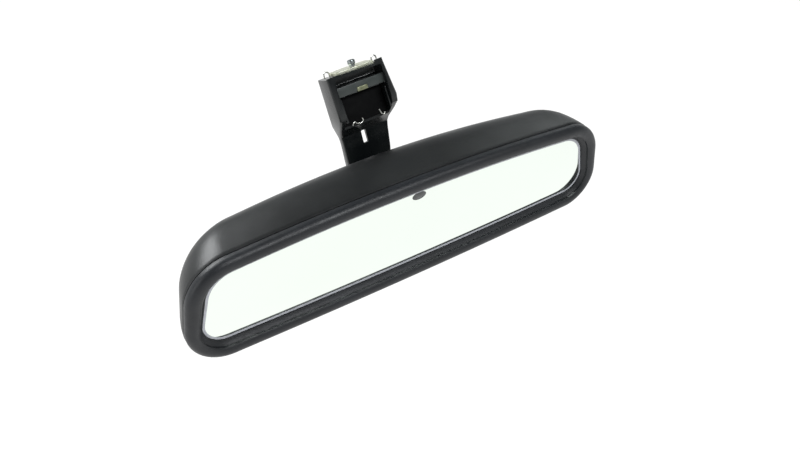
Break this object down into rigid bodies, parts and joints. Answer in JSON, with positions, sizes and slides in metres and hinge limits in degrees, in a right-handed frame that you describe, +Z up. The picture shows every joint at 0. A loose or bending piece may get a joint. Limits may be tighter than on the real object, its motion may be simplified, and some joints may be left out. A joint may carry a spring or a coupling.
{
  "type": "interior rearview mirror",
  "caption": "Self-dimming interior rearview mirror: long rounded head with a glare sensor window, turning on a ball joint below a short stalk with a windscreen foot.",
  "frame": {"origin": "centre of the foot plate's windscreen face", "axes": "+X along the mirror, to the right as the driver looks into it; +Y forward in the car, away from the driver; +Z up; the mirror glass faces -Y"},
  "size_m": [0.2455, 0.0665, 0.1016],
  "materials": {
    "gloss_black": "semi-gloss moulded black",
    "satin_black": "fine-grained charcoal black",
    "grained_black": "leather-grained soft sheen black",
    "inner_black": "moulded black",
    "front_glass": "polished, bevelled edge",
    "mirror": "silvered",
    "sealant": "cured sealant",
    "foam": "adhesive foam",
    "nylon": "natural",
    "steel": "zinc plated",
    "wire": "tinned",
    "zinc": "cast, dull",
    "board": "solder mask",
    "chip": "moulded package",
    "smoked": "dark translucent, polished"
  },
  "bodies": {
    "stalk": {"stalk": "gloss_black", "foot_plate": "zinc", "lock_pin": "steel", "spring_eye_left": "wire", "spring_eye_right": "wire", "bay_wire_left": "wire", "bay_wire_right": "wire", "ball_stud": "steel", "stud_nut": "steel", "stud_washer": "steel"},
    "liner": {"ball_liner": "nylon"},
    "cup": {"socket_cup": "steel"},
    "head": {"socket_clamp": "steel", "clamp_screw_1": "steel", "clamp_screw_2": "steel", "clamp_screw_3": "steel", "bezel": "grained_black", "rear_housing": "satin_black", "front_glass": "front_glass", "rear_glass": "mirror", "edge_seal": "sealant", "contact_strip_top": "wire", "contact_strip_bottom": "wire", "foam_pad": "foam", "carrier_plate": "inner_black", "circuit_board": "board", "board_screw_1": "steel", "board_screw_2": "steel", "board_screw_3": "steel", "sensor_light_pipe": "smoked", "glare_sensor": "chip", "ambient_sensor": "chip", "ambient_lens": "smoked", "connector_socket": "inner_black", "terminal_1": "wire", "terminal_2": "wire", "terminal_3": "wire", "dimming_controller": "chip", "capacitor": "wire"}
  },
  "joints": [
    {"name": "head_swivel", "type": "hinge", "parent": "stalk", "child": "liner", "pos_m": [0.00504, -0.03069, -0.06398], "axis": [0, 0, 1], "range_deg": [-14, 14]},
    {"name": "head_tilt", "type": "hinge", "parent": "liner", "child": "cup", "pos_m": [0.00504, -0.03069, -0.06398], "axis": [1, 0, 0], "range_deg": [-12, 12]},
    {"name": "head_roll", "type": "hinge", "parent": "cup", "child": "head", "pos_m": [0.00504, -0.03069, -0.06398], "axis": [0, 1, 0], "range_deg": [-6, 6]}
  ]
}
